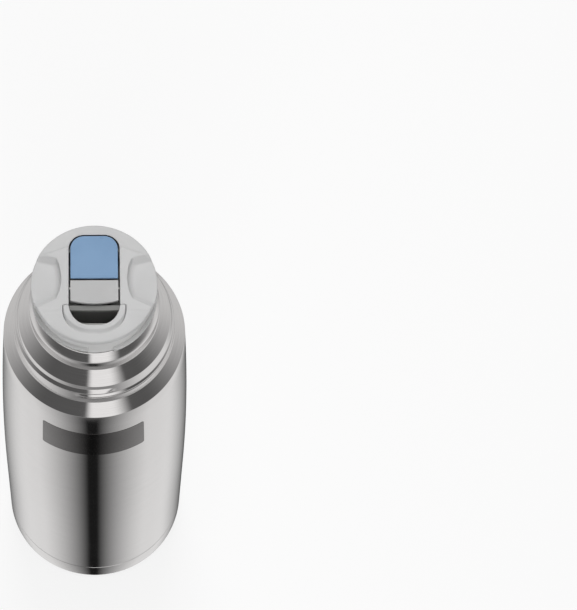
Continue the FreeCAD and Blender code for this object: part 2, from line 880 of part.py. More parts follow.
os.makedirs("parts", exist_ok=True)
for name, shape in pieces.items():
    box = shape.BoundBox
    print(
        "%-15s solids %d valid %s volume %9.1f z %.2f to %.2f radius %.2f"
        % (name, len(shape.Solids), shape.isValid(), shape.Volume, box.ZMin, box.ZMax, box.XMax)
    )
    shape.exportStep("parts/%s.step" % name)
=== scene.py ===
# %% [markdown]
# # A steel vacuum flask with a pouring stopper
# The flask was first built as exact solids, one for each piece that is made on its own.
# This lesson dresses those solids: it keeps them as the frame, models the pieces that are seen
# with Blender's own tools, and gives every surface a finish that is worked out by nodes.
# All sizes below are in millimetres, heights are measured from the table, and the front is -Y.

# %% Load the frame
import math

import bmesh
import bpy
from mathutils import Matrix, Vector


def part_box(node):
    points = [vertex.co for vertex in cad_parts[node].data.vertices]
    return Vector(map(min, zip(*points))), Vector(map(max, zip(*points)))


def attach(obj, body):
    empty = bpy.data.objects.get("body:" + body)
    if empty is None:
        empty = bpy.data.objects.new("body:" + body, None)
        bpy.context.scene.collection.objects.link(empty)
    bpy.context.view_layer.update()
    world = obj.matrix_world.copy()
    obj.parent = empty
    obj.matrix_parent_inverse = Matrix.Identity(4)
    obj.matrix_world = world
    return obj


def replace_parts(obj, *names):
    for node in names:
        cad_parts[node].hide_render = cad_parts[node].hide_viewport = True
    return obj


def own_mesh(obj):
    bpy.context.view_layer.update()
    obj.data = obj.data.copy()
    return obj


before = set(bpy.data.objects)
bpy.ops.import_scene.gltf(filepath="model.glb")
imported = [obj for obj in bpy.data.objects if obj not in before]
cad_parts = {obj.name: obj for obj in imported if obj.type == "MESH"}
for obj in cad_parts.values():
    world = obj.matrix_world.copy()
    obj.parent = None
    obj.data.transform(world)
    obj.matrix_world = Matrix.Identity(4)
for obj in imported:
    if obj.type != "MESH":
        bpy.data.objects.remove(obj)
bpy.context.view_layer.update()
MM = 0.001

# %% [markdown]
# ## The camera
# The picture was taken from high in front, with the flask low on the left of the frame.
# The lens could be shifted sideways to get that, but then every other view would be off centre
# as well. So the camera is turned instead: it looks past the flask into the empty part of the frame.

# %% The camera
CAMERA_Y = -398.76
CAMERA_Z = 1247.5
CAMERA_TURN_DEG = (22.0577, -3.9037, -1.9243)
SENSOR_WIDTH = 36
LENS = 150.94
camera_turn = [math.radians(angle) for angle in CAMERA_TURN_DEG]
bpy.ops.object.camera_add(location=(0, CAMERA_Y * MM, CAMERA_Z * MM), rotation=camera_turn)
camera = bpy.context.object
camera.data.sensor_width = SENSOR_WIDTH
camera.data.lens = LENS
bpy.context.scene.camera = camera
bpy.context.scene.view_settings.view_transform = "Standard"
print("camera at", [round(value, 3) for value in camera.location])

# %% [markdown]
# ## Helpers for node trees
# A node tree is easier to read when each node is one statement. The first helper adds a node, sets its
# options, and fills its inputs: an input that is given another node's output is linked to it.
# The others are for the steps that come up most: arithmetic, ramps and mixes.

# %% Helpers for node trees
MIX_SOCKETS = {"FLOAT": (0, 2, 3, 0), "RGBA": (0, 6, 7, 2)}


def add_node(tree, kind, inputs=None, **options):
    """Adds a node; inputs are keyed by name or number, and a socket given as a value is linked."""
    node = tree.nodes.new(kind)
    for option, value in options.items():
        setattr(node, option, value)
    for key, value in (inputs or {}).items():
        if isinstance(value, bpy.types.NodeSocket):
            tree.links.new(value, node.inputs[key])
        else:
            node.inputs[key].default_value = value
    return node


def calculate(tree, operation, *values):
    """One step of arithmetic; gives the socket that holds the answer."""
    return add_node(tree, "ShaderNodeMath", dict(enumerate(values)), operation=operation).outputs[0]


def ramp(tree, value, start, end, low=0.0, high=1.0, smooth=True):
    """Takes a value from one range to another, held at the ends."""
    kind = "SMOOTHSTEP" if smooth else "LINEAR"
    inputs = {"Value": value, "From Min": start, "From Max": end, "To Min": low, "To Max": high}
    return add_node(tree, "ShaderNodeMapRange", inputs, interpolation_type=kind).outputs["Result"]


def blend(tree, kind, share, first, second):
    """Mixes two numbers (FLOAT) or two colours (RGBA) by a share from 0 to 1."""
    share_at, first_at, second_at, answer_at = MIX_SOCKETS[kind]
    inputs = {share_at: share, first_at: first, second_at: second}
    return add_node(tree, "ShaderNodeMix", inputs, data_type=kind).outputs[answer_at]


def blend_shaders(tree, share, first, second):
    """Mixes two shaders by a share from 0 to 1."""
    inputs = {0: share, 1: first.outputs[0], 2: second.outputs[0]}
    return add_node(tree, "ShaderNodeMixShader", inputs)


# %% [markdown]
# ## The studio round the flask
# Polished steel has hardly any colour of its own: what is seen on it is the room. A product studio
# puts bright panels and dark screens round a steel pot so that its wall shows soft light and dark
# stripes. Panels could be modelled one by one, but the world's own shader can hold them all,
# worked out from the direction that a reflected ray leaves in. The camera itself sees plain white.

# %% Directions in the studio
world = bpy.data.worlds.new("studio")
world.use_nodes = True
bpy.context.scene.world = world
studio = world.node_tree
studio.nodes.clear()
ray = add_node(studio, "ShaderNodeTexCoord").outputs["Generated"]
across, along, up = add_node(studio, "ShaderNodeSeparateXYZ", {0: ray}).outputs
toward_front = calculate(studio, "MULTIPLY", along, -1.0)
bearing = calculate(studio, "ARCTAN2", across, toward_front)
bearing_size = calculate(studio, "ABSOLUTE", bearing)
print("the studio is laid out by bearing and height of each ray")

# %% The floor of the studio: dark in front of the flask, bright at its sides
GROUND_TURN = math.radians(3)
GROUND_SIDES = (0.09, 0.94)
GROUND_LIGHT = (0.012, 0.85)
GROUND_BACK = (math.radians(100), math.radians(170))
GROUND_BACK_SHARE = 0.5
GROUND_FAR = (-0.88, -0.78)
GROUND_FAR_LIGHT = 0.38
ground_turn = calculate(studio, "SINE", calculate(studio, "ADD", bearing, GROUND_TURN))
sideways = calculate(studio, "ABSOLUTE", ground_turn)
ground_sides = ramp(studio, sideways, *GROUND_SIDES, *GROUND_LIGHT, smooth=False)
ground_back = ramp(studio, bearing_size, *GROUND_BACK, 1.0, GROUND_BACK_SHARE, smooth=False)
ground_near = calculate(studio, "MULTIPLY", ground_sides, ground_back)
ground_far = ramp(studio, up, *GROUND_FAR, 0.0, GROUND_FAR_LIGHT)
ground_light = calculate(studio, "MAXIMUM", ground_near, ground_far)
print("nodes for the floor:", len(studio.nodes))

# %% Screens, the front panel and the ceiling
SCREEN_SIDES = (math.radians(45), math.radians(125))
SCREEN_LIGHT = (0.12, 0.72)
PANEL_LEFT = (math.radians(-11), math.radians(-2))
PANEL_RIGHT = (math.radians(15), math.radians(38))
PANEL_LIGHT = 1.1
HORIZON = (-0.63, -0.52)
CEILING = (0.66, 0.9)
CEILING_LIGHT = 1.1
screen_light = ramp(studio, bearing_size, *SCREEN_SIDES, *SCREEN_LIGHT)
panel_left = ramp(studio, bearing, *PANEL_LEFT)
panel_right = ramp(studio, bearing, *PANEL_RIGHT, 1.0, 0.0)
panel = calculate(studio, "MULTIPLY", panel_left, panel_right)
panel_light = calculate(studio, "MULTIPLY", panel, PANEL_LIGHT)
side_light = calculate(studio, "MAXIMUM", screen_light, panel_light)
above_ground = ramp(studio, up, *HORIZON)
overhead = ramp(studio, up, *CEILING)
lower = blend(studio, "FLOAT", above_ground, ground_light, side_light)
whole = blend(studio, "FLOAT", overhead, lower, CEILING_LIGHT)
print("nodes for the whole studio:", len(studio.nodes))

# %% What each kind of ray sees
WHITE = (1, 1, 1, 1)
STUDIO_TINT = (1.0, 0.995, 0.99, 1)
SOFT_LIGHT = 0.1
reflected = add_node(studio, "ShaderNodeBackground", {"Color": STUDIO_TINT, "Strength": whole})
soft_light = add_node(studio, "ShaderNodeBackground", {"Color": WHITE, "Strength": SOFT_LIGHT})
white = add_node(studio, "ShaderNodeBackground", {"Color": WHITE, "Strength": 1.0})
light_path = add_node(studio, "ShaderNodeLightPath").outputs
lit = blend_shaders(studio, light_path["Is Glossy Ray"], soft_light, reflected)
seen = blend_shaders(studio, light_path["Is Camera Ray"], lit, white)
add_node(studio, "ShaderNodeOutputWorld", {"Surface": seen.outputs[0]})
print("studio nodes:", len(studio.nodes))

# %% [markdown]
# ## Lamps and floor
# A soft lamp above and one behind shape the plastic, and a weaker one in front fills its shadows.
# The floor is pale and lit like the rest, but part of what the camera sees of it is plain white,
# so that it stays white without more light on the flask.

# %% Lamps
LAMP_TARGET = Vector((0, 0, 0.2))


def add_lamp(name, place, energy, size):
    """A square soft lamp that faces the flask and stays out of the steel's reflections."""
    bpy.ops.object.light_add(type="AREA", location=place)
    lamp = bpy.context.object
    lamp.name = name
    lamp.data.energy = energy
    lamp.data.size = size
    lamp.rotation_euler = (Vector(place) - LAMP_TARGET).to_track_quat("Z", "Y").to_euler()
    lamp.visible_glossy = False


add_lamp("top_lamp", place=(0, 0, 1.7), energy=8.5, size=0.5)
add_lamp("back_lamp", place=(0, 0.9, 1.3), energy=9, size=0.6)
add_lamp("front_lamp", place=(0, -1.3, 0.7), energy=8, size=0.8)

# %% Floor
FLOOR_SIZE = 30
FLOOR_PALE = (0.95, 0.95, 0.95, 1)
FLOOR_WHITE_SHARE = 0.82
bpy.ops.mesh.primitive_plane_add(size=FLOOR_SIZE)
floor = bpy.context.object
floor.name = "pale_floor"
floor.visible_glossy = False
floor_paint = bpy.data.materials.new("floor_paint")
floor_paint.use_nodes = True
paint = floor_paint.node_tree
paint.nodes.clear()
matt = add_node(paint, "ShaderNodeBsdfDiffuse", {"Color": FLOOR_PALE})
glow = add_node(paint, "ShaderNodeEmission", {"Color": WHITE, "Strength": 1.0})
camera_ray = add_node(paint, "ShaderNodeLightPath").outputs["Is Camera Ray"]
to_camera = calculate(paint, "MULTIPLY", camera_ray, FLOOR_WHITE_SHARE)
floor_mix = blend_shaders(paint, to_camera, matt, glow)
add_node(paint, "ShaderNodeOutputMaterial", {"Surface": floor_mix.outputs[0]})
floor.data.materials.append(floor_paint)
print("floor:", floor.name, "with", len(paint.nodes), "nodes")

# %% [markdown]
# ## Modelling tools from a script
# Blender's modelling tools act on whatever is selected, so each piece starts from an empty selection.
# Points, edges and faces are then chosen by where they are, which stays true when a size changes.

# %% Selecting and applying
NEAR = 0.01
SELECT_MODES = {"verts": "VERT", "edges": "EDGE", "faces": "FACE"}


def fresh_start():
    """Leaves edit mode and deselects every object."""
    if bpy.context.object is not None and bpy.context.object.mode != "OBJECT":
        bpy.ops.object.mode_set(mode="OBJECT")
    bpy.ops.object.select_all(action="DESELECT")


def take_up(piece):
    """Selects one piece and makes it the active one."""
    fresh_start()
    piece.select_set(True)
    bpy.context.view_layer.objects.active = piece


def pick(piece, part, test):
    """In edit mode, selects the verts, edges or faces whose points, in millimetres, pass the test."""
    mesh = bmesh.from_edit_mesh(piece.data)
    bpy.ops.mesh.select_mode(type=SELECT_MODES[part])
    bpy.ops.mesh.select_all(action="DESELECT")
    for item in getattr(mesh, part):
        corners = [item] if part == "verts" else item.verts
        if test([corner.co / MM for corner in corners]):
            item.select_set(True)
    mesh.select_flush_mode()
    bmesh.update_edit_mesh(piece.data)


def apply_modifier(piece, kind, **options):
    """Adds a modifier, sets it and applies it."""
    take_up(piece)
    bpy.ops.object.modifier_add(type=kind)
    modifier = piece.modifiers[-1]
    for option, value in options.items():
        setattr(modifier, option, value)
    bpy.ops.object.modifier_apply(modifier=modifier.name)


# %% Cleaning and bevelling
MERGE_DISTANCE = 0.002
SMOOTH_ANGLE = math.radians(35)
SHARP_ANGLE = math.radians(50)


def tidy_mesh(piece):
    """Closes seams, turns the faces outwards and shades the soft edges smooth."""
    take_up(piece)
    bpy.ops.object.mode_set(mode="EDIT")
    bpy.ops.mesh.select_all(action="SELECT")
    bpy.ops.mesh.remove_doubles(threshold=MERGE_DISTANCE * MM)
    bpy.ops.mesh.normals_make_consistent(inside=False)
    bpy.ops.object.mode_set(mode="OBJECT")
    bpy.ops.object.shade_smooth_by_angle(angle=SMOOTH_ANGLE)
    print(piece.name, "faces:", len(piece.data.polygons))


def bevel_sharp_edges(piece, width, segments):
    """Rounds every edge that turns by more than the sharp angle."""
    limits = {"limit_method": "ANGLE", "angle_limit": SHARP_ANGLE}
    apply_modifier(piece, "BEVEL", width=width * MM, segments=segments, **limits)


# %% [markdown]
# ## The steel body
# On the real flask the outer wall is one drawn tube: straight low down, drawn in slightly towards the
# shoulder, then stepped twice to the mouth. A cylinder could be scaled ring by ring, but a turned
# piece is clearest as its outline: one point is extruded along it, the corners are
# bevelled to the radius of a press tool, and the line is spun round the axis.

# %% Helpers for turned pieces
TURN_STEPS = 240


def draw_outline(name, outline):
    """Extrudes one point along an outline of (radius, height) in the plane of X and Z."""
    fresh_start()
    bpy.ops.mesh.primitive_plane_add(size=2 * MM)
    piece = bpy.context.object
    piece.name = name
    bpy.ops.object.mode_set(mode="EDIT")
    bpy.ops.mesh.select_mode(type="VERT")
    bpy.ops.mesh.select_all(action="SELECT")
    bpy.ops.mesh.merge(type="CENTER")
    place = (0.0, 0.0)
    for number, target in enumerate(outline):
        step = ((target[0] - place[0]) * MM, 0, (target[1] - place[1]) * MM)
        if number == 0:
            bpy.ops.transform.translate(value=step)
        else:
            bpy.ops.mesh.extrude_region_move(TRANSFORM_OT_translate={"value": step})
        place = target
    bpy.ops.mesh.select_all(action="SELECT")
    bpy.ops.mesh.remove_doubles(threshold=MERGE_DISTANCE * MM)
    return piece


def round_corners(piece, corners, setback, segments):
    """Bevels the outline's points that are at the given corners."""
    def at_corner(points):
        return any(abs(points[0].x - x) < NEAR and abs(points[0].z - z) < NEAR for x, z in corners)

    pick(piece, "verts", at_corner)
    bpy.ops.mesh.bevel(offset=setback * MM, affect="VERTICES", segments=segments)


def spin_outline(piece):
    """Spins the outline once round the axis and cleans the mesh."""
    bpy.ops.mesh.select_all(action="SELECT")
    bpy.ops.mesh.spin(steps=TURN_STEPS, angle=2 * math.pi, center=(0, 0, 0), axis=(0, 0, 1))
    tidy_mesh(piece)


# %% The taper of the steel body
BODY_RADIUS = 42.5
SHOULDER = (38.6, 229.8)
TAPER_START = 76.0
TAPER_STEPS = 14
taper_drop = BODY_RADIUS - SHOULDER[0]
taper_length = SHOULDER[1] - TAPER_START
taper_arc = (taper_length ** 2 + taper_drop ** 2) / (2 * taper_drop)


def body_radius_at(z):
    """Radius of the body's outside at a height below the shoulder."""
    rise = max(0.0, z - TAPER_START)
    return BODY_RADIUS - taper_arc + math.sqrt(taper_arc ** 2 - rise ** 2)


taper_heights = [TAPER_START + taper_length * step / TAPER_STEPS for step in range(TAPER_STEPS)]
taper_line = [(body_radius_at(z), z) for z in taper_heights]
print("the taper follows an arc of", round(taper_arc), "mm")

# %% The outline of the steel body
SEAM = 18.0
SEAM_GROOVE = 0.25
SHELL_WALL = 0.6
NECK = [(34.0, 235.4), (32.0, 249.4), (27.0, 256.0), (27.0, 263.2), (25.0, 268.6)]
CUP_WALL_STEPS = 36
SHOULDER_BEND = 0.35
NECK_BEND = 0.6


def between(start, end, count):
    """Points on the straight line between two outline points, ends left out."""
    shares = [step / count for step in range(1, count)]
    return [tuple(a + (b - a) * share for a, b in zip(start, end)) for share in shares]


foot_line = [(BODY_RADIUS - SEAM_GROOVE, SEAM), (BODY_RADIUS, SEAM + SEAM_GROOVE)]
cup_wall = between(NECK[0], NECK[1], CUP_WALL_STEPS)
outside = foot_line + taper_line + [SHOULDER, NECK[0]] + cup_wall + NECK[1:]
inside = [(radius - SHELL_WALL, z) for radius, z in taper_line + [SHOULDER] + NECK]
foot_inside = (BODY_RADIUS - SHELL_WALL, SEAM)
body_outline = outside + inside[::-1] + [foot_inside, foot_line[0]]
steel_body = draw_outline("steel_body", body_outline)
round_corners(steel_body, [SHOULDER, NECK[0]], SHOULDER_BEND, segments=3)
round_corners(steel_body, NECK[1:], NECK_BEND, segments=4)
spin_outline(steel_body)

# %% [markdown]
# ## The rolled bead
# The drinking cup screws onto a bead that is rolled out of the neck's wall from inside. It runs a little
# more than once round, so its two ends pass each other at the front. A tube laid on the wall
# would meet it in a hard crease; pushing the wall's own points out gives the soft foot of rolled metal.

# %% The course of the bead
BEAD_START_Z = 240.6
BEAD_LEAD = 4.0
BEAD_TURNS = 1.08
BEAD_CREST = 33.7
BEAD_HALF_WIDTH = 2.0
BEAD_FADE_DEG = 9.0
FRONT_DEG = -90
bead_span = 360 * BEAD_TURNS
bead_first = FRONT_DEG - (bead_span - 360) / 2


def bead_share(azimuth, z):
    """How far a point of the wall is pushed towards the bead's crest, from 0 to 1."""
    best = 0.0
    turned = (azimuth - bead_first) % 360
    for passed in (turned, turned + 360):
        if passed < bead_span:
            end = min(1.0, min(passed, bead_span - passed) / BEAD_FADE_DEG)
            off = abs(z - BEAD_START_Z - BEAD_LEAD * passed / 360) / BEAD_HALF_WIDTH
            if off < 1:
                best = max(best, math.sin(end * math.pi / 2) * math.cos(off * math.pi / 2) ** 2)
    return best


print("the bead runs over", round(bead_span), "degrees")

# %% Pushing the wall out
pushed = 0
for vertex in steel_body.data.vertices:
    place = vertex.co / MM
    radius = math.hypot(place.x, place.y)
    wall_share = (place.z - NECK[0][1]) / (NECK[1][1] - NECK[0][1])
    wall_radius = NECK[0][0] + (NECK[1][0] - NECK[0][0]) * wall_share
    if 0 < wall_share < 1 and radius > wall_radius - SHELL_WALL / 2:
        share = bead_share(math.degrees(math.atan2(place.y, place.x)), place.z)
        grown = 1 + share * (BEAD_CREST - wall_radius) / radius
        vertex.co.x *= grown
        vertex.co.y *= grown
        pushed += share > 0
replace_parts(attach(steel_body, "flask"), "outer_shell")
print("points pushed out for the bead:", pushed)

# %% [markdown]
# ## The base cup
# A pressed cup closes the tube from below and leaves a fine seam line low on the body. It stands on a
# narrow ring, and its middle is drawn up so that the flask doesn't rock. It is turned like the body.

# %% The base cup
BASE_CORNER = 5.5
LAP_TOP = 22.0
HOLE_RADIUS = 2.0
RECESS_UNDERSIDE = 2.0
RECESS_TOPSIDE = 2.6
RECESS_RADIUS = 29.0
FOOT_RADIUS = 31.0
WALL_SHIFT = 0.6
INNER_FLOOR = 1.2
FOOT_BEND = 0.7
lap_outer = BODY_RADIUS - SHELL_WALL
lap_inner = lap_outer - SHELL_WALL
base_outline = [
    (HOLE_RADIUS, RECESS_UNDERSIDE),
    (RECESS_RADIUS, RECESS_UNDERSIDE),
    (FOOT_RADIUS, 0.0),
    (BODY_RADIUS, 0.0),
    (BODY_RADIUS, SEAM - SEAM_GROOVE),
    (BODY_RADIUS - SEAM_GROOVE, SEAM),
    (lap_outer, SEAM),
    (lap_outer, LAP_TOP),
    (lap_inner, LAP_TOP),
    (lap_inner, INNER_FLOOR),
    (FOOT_RADIUS + WALL_SHIFT, INNER_FLOOR),
    (RECESS_RADIUS + WALL_SHIFT, RECESS_TOPSIDE),
    (HOLE_RADIUS, RECESS_TOPSIDE),
    (HOLE_RADIUS, RECESS_UNDERSIDE),
]
steel_base = draw_outline("steel_base", base_outline)
round_corners(steel_base, [(BODY_RADIUS, 0.0)], BASE_CORNER, segments=10)
round_corners(steel_base, [(lap_inner, INNER_FLOOR)], BASE_CORNER - SHELL_WALL, segments=8)
round_corners(steel_base, [(RECESS_RADIUS, RECESS_UNDERSIDE), (FOOT_RADIUS, 0.0)], FOOT_BEND, segments=3)
spin_outline(steel_base)
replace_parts(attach(steel_base, "flask"), "base_cap")

# %% [markdown]
# ## The threaded skirt
# Under the stopper's head a short skirt carries three broken threads. The skirt is turned; one thread is a
# small section that the Screw modifier sweeps up a helix, and turned copies of it make the set.

# %% The skirt
SKIRT_RADIUS = 24.4
SKIRT_BOTTOM = 268.9
SKIRT_STEP = 270.2
SKIRT_FOOT_BORE = 23.8
SKIRT_BORE = 22.6
SKIRT_EDGE = 0.3
HEAD_BOTTOM = 279.6
skirt_outline = [
    (SKIRT_FOOT_BORE, SKIRT_BOTTOM),
    (SKIRT_RADIUS, SKIRT_BOTTOM),
    (SKIRT_RADIUS, HEAD_BOTTOM),
    (SKIRT_BORE, HEAD_BOTTOM),
    (SKIRT_BORE, SKIRT_STEP),
    (SKIRT_FOOT_BORE, SKIRT_STEP),
    (SKIRT_FOOT_BORE, SKIRT_BOTTOM),
]
skirt = draw_outline("threaded_skirt", skirt_outline)
round_corners(skirt, [(SKIRT_RADIUS, SKIRT_BOTTOM)], SKIRT_EDGE, segments=3)
spin_outline(skirt)

# %% One thread
RIDGE_WIDTH = 2.4
RIDGE_CREST = 25.9
RIDGE_ROOT = SKIRT_RADIUS - 0.3
RIDGE_EDGE = 0.25
RIDGE_SPAN = 96
RIDGE_LEAD = 9.0
RIDGE_START_Z = 271.3
RIDGE_STEPS = 72


def close_ends(piece):
    """Fills the two open ends of a swept section."""
    take_up(piece)
    bpy.ops.object.mode_set(mode="EDIT")
    bpy.ops.mesh.select_all(action="DESELECT")
    bpy.ops.mesh.select_mode(type="EDGE")
    bpy.ops.mesh.select_non_manifold()
    bpy.ops.mesh.fill()
    bpy.ops.object.mode_set(mode="OBJECT")
    tidy_mesh(piece)


thread_outline = [
    (RIDGE_ROOT, RIDGE_START_Z - RIDGE_WIDTH / 2),
    (RIDGE_CREST, RIDGE_START_Z - RIDGE_WIDTH / 4),
    (RIDGE_CREST, RIDGE_START_Z + RIDGE_WIDTH / 4),
    (RIDGE_ROOT, RIDGE_START_Z + RIDGE_WIDTH / 2),
    (RIDGE_ROOT, RIDGE_START_Z - RIDGE_WIDTH / 2),
]
thread = draw_outline("thread", thread_outline)
round_corners(thread, thread_outline[1:3], RIDGE_EDGE, segments=3)
bpy.ops.object.mode_set(mode="OBJECT")
apply_modifier(
    thread,
    "SCREW",
    angle=math.radians(RIDGE_SPAN),
    screw_offset=RIDGE_LEAD * RIDGE_SPAN / 360 * MM,
    steps=RIDGE_STEPS,
    render_steps=RIDGE_STEPS,
    use_smooth_shade=False,
)
close_ends(thread)

# %% Copies of the thread
THREAD_COUNT = 3
THREAD_FIRST_DEG = -72
for number in range(THREAD_COUNT):
    take_up(thread)
    bpy.ops.object.duplicate()
    copy = bpy.context.object
    copy.rotation_euler.z = math.radians(THREAD_FIRST_DEG + 360 / THREAD_COUNT * number)
    bpy.ops.object.transform_apply(location=False, rotation=True, scale=False)
    skirt.select_set(True)
    bpy.context.view_layer.objects.active = skirt
    bpy.ops.object.join()
bpy.data.objects.remove(thread)
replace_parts(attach(skirt, "stopper"), "thread_collar")
print("skirt with threads:", len(skirt.data.polygons), "faces")

# %% [markdown]
# ## The stopper's top
# The top is one thick moulding: a round rim, a channel from back to front for the button, the tab and the
# spout, and a hollow on each side that gives grip for unscrewing it. It is turned first, and the hollows
# and the channel are then cut away by blocks made to their size.

# %% Blocks with rounded corners
def place_in_mesh():
    """Moves the active object's place, turn and scale into its mesh."""
    bpy.ops.object.transform_apply(location=True, rotation=True, scale=True)


def add_block(name, half_width, front_y, back_y, bottom_z, top_z):
    """A block across the middle, at its size and place."""
    fresh_start()
    middle = (0, (front_y + back_y) / 2 * MM, (bottom_z + top_z) / 2 * MM)
    size = (2 * half_width * MM, (back_y - front_y) * MM, (top_z - bottom_z) * MM)
    bpy.ops.mesh.primitive_cube_add(size=1, location=middle, scale=size)
    block = bpy.context.object
    block.name = name
    place_in_mesh()
    return block


def round_uprights(block, y, radius, segments=12):
    """Bevels the two upright edges of a block that stand at one y."""
    def upright_at_y(ends):
        level = abs(ends[0].z - ends[1].z) < NEAR
        return not level and all(abs(end.y - y) < NEAR for end in ends)

    take_up(block)
    bpy.ops.object.mode_set(mode="EDIT")
    pick(block, "edges", upright_at_y)
    bpy.ops.mesh.bevel(offset=radius * MM, segments=segments, affect="EDGES")
    bpy.ops.object.mode_set(mode="OBJECT")


def combine(piece, operation, tool):
    """Adds, takes away or keeps what a tool shares with a piece, and throws the tool away."""
    apply_modifier(piece, "BOOLEAN", operation=operation, solver="EXACT", object=tool)
    bpy.data.objects.remove(tool)


# %% The turned blank
HEAD_RADIUS = 25.8
HEAD_TOP = 285.4
RIM_BOTTOM = 281.4
RIM_UNDERCUT = 0.7
RIM_EDGE = 0.7
head_outline = [
    (0.0, HEAD_BOTTOM),
    (SKIRT_RADIUS, HEAD_BOTTOM),
    (SKIRT_RADIUS, RIM_BOTTOM - RIM_UNDERCUT),
    (HEAD_RADIUS, RIM_BOTTOM),
    (HEAD_RADIUS, HEAD_TOP),
    (0.0, HEAD_TOP),
]
stopper_top = draw_outline("stopper_top", head_outline)
round_corners(stopper_top, [(HEAD_RADIUS, HEAD_TOP)], RIM_EDGE, segments=6)
spin_outline(stopper_top)

# %% [markdown]
# ## The grip hollows
# Each hollow is a bowl with a steep round wall, and its floor runs out in slopes to the front and the back.
# A free-form patch could follow it, but a wide cone gives the wall and a splayed trough gives the slopes,
# and what the two share is the hollow. The left one is a mirrored copy.

# %% The bowl of a hollow
SCOOP_FLOOR = 282.7
SCOOP_X = 33.5
SCOOP_Y = 2.0
SCOOP_FLOOR_RADIUS = 19.3
SCOOP_SLOPE = 0.8 / 2.7
SCOOP_HOLLOW = 2.2
BOWL_SIDES = 160
CUT_MARGIN = 1.0
CUT_TOP = HEAD_TOP + CUT_MARGIN
bowl_height = CUT_TOP - SCOOP_FLOOR
fresh_start()
bpy.ops.mesh.primitive_cone_add(
    vertices=BOWL_SIDES,
    radius1=SCOOP_FLOOR_RADIUS * MM,
    radius2=(SCOOP_FLOOR_RADIUS + SCOOP_SLOPE * bowl_height) * MM,
    depth=bowl_height * MM,
    location=(SCOOP_X * MM, SCOOP_Y * MM, (SCOOP_FLOOR + bowl_height / 2) * MM),
)
scoop = bpy.context.object
place_in_mesh()
bpy.ops.object.mode_set(mode="EDIT")
pick(scoop, "edges", lambda ends: all(abs(end.z - SCOOP_FLOOR) < NEAR for end in ends))
bpy.ops.mesh.bevel(offset=SCOOP_HOLLOW * MM, segments=10, affect="EDGES")
bpy.ops.object.mode_set(mode="OBJECT")
print("bowl of the grip hollow:", len(scoop.data.polygons), "faces")

# %% Its sloping ends
TROUGH_HALF = 5.9
TROUGH_SLOPE = 2.0 / 1.9
TROUGH_LENGTH = 55.0
TURN_POINT = 14.5
BACK_SPLAY = 0.26
FRONT_SPLAY = 0.45
top_half = TROUGH_HALF + TROUGH_SLOPE * bowl_height
fresh_start()
bpy.ops.mesh.primitive_plane_add(size=1, location=(SCOOP_X * MM, SCOOP_Y * MM, SCOOP_FLOOR * MM))
trough = bpy.context.object
trough.scale = (TROUGH_LENGTH * MM, 2 * TROUGH_HALF * MM, 1)
place_in_mesh()
bpy.ops.object.mode_set(mode="EDIT")
bpy.ops.mesh.select_all(action="SELECT")
bpy.ops.mesh.extrude_region_move(TRANSFORM_OT_translate={"value": (0, 0, bowl_height * MM)})
top_centre = (SCOOP_X * MM, SCOOP_Y * MM, CUT_TOP * MM)
bpy.ops.transform.resize(value=(1, top_half / TROUGH_HALF, 1), center_override=top_centre)
bpy.ops.mesh.select_all(action="SELECT")
bpy.ops.mesh.normals_make_consistent(inside=False)
bpy.ops.object.mode_set(mode="OBJECT")
for vertex in trough.data.vertices:
    splay = BACK_SPLAY if vertex.co.y > SCOOP_Y * MM else -FRONT_SPLAY
    vertex.co.y += splay * (vertex.co.x - TURN_POINT * MM)
combine(scoop, "INTERSECT", trough)
print("grip hollow:", len(scoop.data.polygons), "faces")

# %% Its mirrored copy
take_up(scoop)
bpy.ops.object.duplicate()
left_scoop = bpy.context.object
left_scoop.scale.x = -1
place_in_mesh()
tidy_mesh(left_scoop)

# %% [markdown]
# ## Cutting the blank
# The channel runs right through the moulding, and the lip's seat is a shallow recess round its front end.
# Both are blocks with rounded corners. The blank loses hollows, channel and seat one after another.

# %% Cutting the blank
CHANNEL_HALF = 10.35
CHANNEL_FRONT = -17.95
CHANNEL_BACK = 21.1
CHANNEL_FRONT_ROUND = 6.5
CHANNEL_BACK_ROUND = 6.1
DUCT_BACK = -9.7
LIP_HALF = 12.6
LIP_FRONT = -22.25
LIP_BOTTOM = 282.2
LIP_FRONT_ROUND = 10.6
LIP_GAP = 0.1
SEAT_SIDE_GAP = 0.3
SEAT_FRONT_OVERLAP = 0.3
channel_bottom = HEAD_BOTTOM - CUT_MARGIN
channel = add_block("channel", CHANNEL_HALF, CHANNEL_FRONT, CHANNEL_BACK, channel_bottom, CUT_TOP)
round_uprights(channel, CHANNEL_FRONT, CHANNEL_FRONT_ROUND)
round_uprights(channel, CHANNEL_BACK, CHANNEL_BACK_ROUND)
seat_front = LIP_FRONT + SEAT_FRONT_OVERLAP
lip_seat = add_block("lip_seat", LIP_HALF + SEAT_SIDE_GAP, seat_front, DUCT_BACK, LIP_BOTTOM, CUT_TOP)
round_uprights(lip_seat, seat_front, LIP_FRONT_ROUND + LIP_GAP)
for cutter in (scoop, left_scoop, channel, lip_seat):
    combine(stopper_top, "DIFFERENCE", cutter)
print("cut blank:", len(stopper_top.data.polygons), "faces")

# %% [markdown]
# ## Soft edges of a moulding
# A moulding has no sharp edges: plastic shrinks, and the tool is polished. Bevelling every edge where curved
# cuts meet often leaves pinched corners. Here the blank is remeshed into small even faces and smoothed,
# which rounds every edge and every hollow by the same small amount.

# %% Soft edges of a moulding
SMOOTH_FACTOR = 0.5


def soften(piece, grain_size, rounds):
    """Remeshes a piece into even faces and smooths it."""
    apply_modifier(piece, "REMESH", mode="VOXEL", voxel_size=grain_size * MM)
    apply_modifier(piece, "SMOOTH", factor=SMOOTH_FACTOR, iterations=rounds)
    take_up(piece)
    bpy.ops.object.shade_smooth()
    print(piece.name, "faces:", len(piece.data.polygons))


soften(stopper_top, grain_size=0.3, rounds=4)

